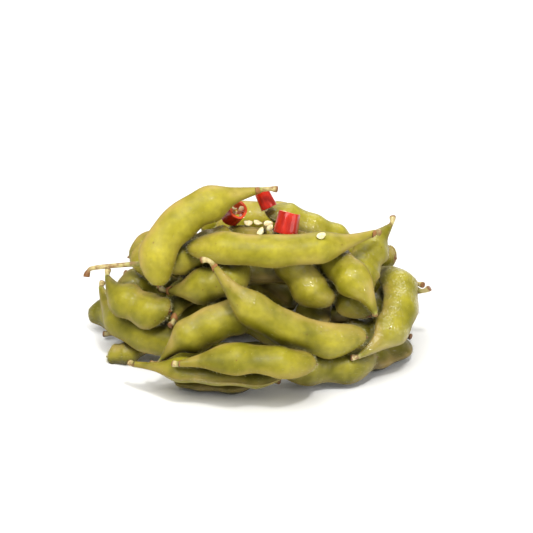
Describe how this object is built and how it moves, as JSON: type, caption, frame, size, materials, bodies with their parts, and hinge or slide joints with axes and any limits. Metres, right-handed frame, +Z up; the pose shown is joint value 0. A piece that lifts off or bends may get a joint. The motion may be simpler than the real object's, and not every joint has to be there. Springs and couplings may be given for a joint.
{
  "type": "edamame pod bundle",
  "caption": "Loose heap of boiled edamame pods with cut stalks, dressed with slices and seeds of red chilli.",
  "frame": {"origin": "centre of the heap's footprint, on the surface it lies on", "axes": "+X to the right seen from the front, along the heap's longest side; +Y to the back; +Z up"},
  "size_m": [0.1238, 0.1058, 0.0645],
  "materials": {
    "pod_skin": "satin skin of a boiled soybean pod, yellow-green, with fine down",
    "chilli_skin": "glossy red skin of fresh chilli, with cream pith inside",
    "chilli_seed": "cream, slightly wet seed"
  },
  "bodies": {
    "root": {"pod_top_front": "pod_skin", "pod_arch": "pod_skin", "pod_back_left": "pod_skin", "pod_side_left": "pod_skin", "pod_mid_top": "pod_skin", "pod_back_right": "pod_skin", "pod_stalk_up": "pod_skin", "pod_right_high": "pod_skin", "pod_right_droop": "pod_skin", "pod_right_big": "pod_skin", "pod_right_back": "pod_skin", "pod_right_shoulder": "pod_skin", "pod_right_inner": "pod_skin", "pod_right_lower": "pod_skin", "pod_front_diagonal": "pod_skin", "pod_behind_diagonal": "pod_skin", "pod_centre": "pod_skin", "pod_centre_right": "pod_skin", "pod_centre_deep": "pod_skin", "pod_left_middle": "pod_skin", "pod_left_dark": "pod_skin", "pod_left_low": "pod_skin", "pod_front_left": "pod_skin", "pod_bottom_front": "pod_skin", "pod_small_left": "pod_skin", "pod_bottom_long": "pod_skin", "pod_bottom_left": "pod_skin", "pod_bottom_right": "pod_skin", "pod_right_under": "pod_skin", "pod_left_stem": "pod_skin", "pod_left_up": "pod_skin", "pod_left_far": "pod_skin", "pod_under_top": "pod_skin", "pod_base_1": "pod_skin", "pod_base_2": "pod_skin", "pod_base_3": "pod_skin", "pod_base_4": "pod_skin", "pod_base_5": "pod_skin", "pod_base_6": "pod_skin", "pod_base_7": "pod_skin", "pod_base_8": "pod_skin", "pod_inner_1": "pod_skin", "pod_inner_2": "pod_skin", "pod_inner_3": "pod_skin", "pod_core_1": "pod_skin", "pod_back_1": "pod_skin", "pod_back_2": "pod_skin", "pod_back_3": "pod_skin", "pod_back_4": "pod_skin", "pod_back_5": "pod_skin", "chilli_slice_left": "chilli_skin", "chilli_slice_top": "chilli_skin", "chilli_slice_front": "chilli_skin", "chilli_seed_1": "chilli_seed", "chilli_seed_2": "chilli_seed", "chilli_seed_3": "chilli_seed", "chilli_seed_4": "chilli_seed", "chilli_seed_5": "chilli_seed", "chilli_seed_6": "chilli_seed"}
  },
  "joints": []
}
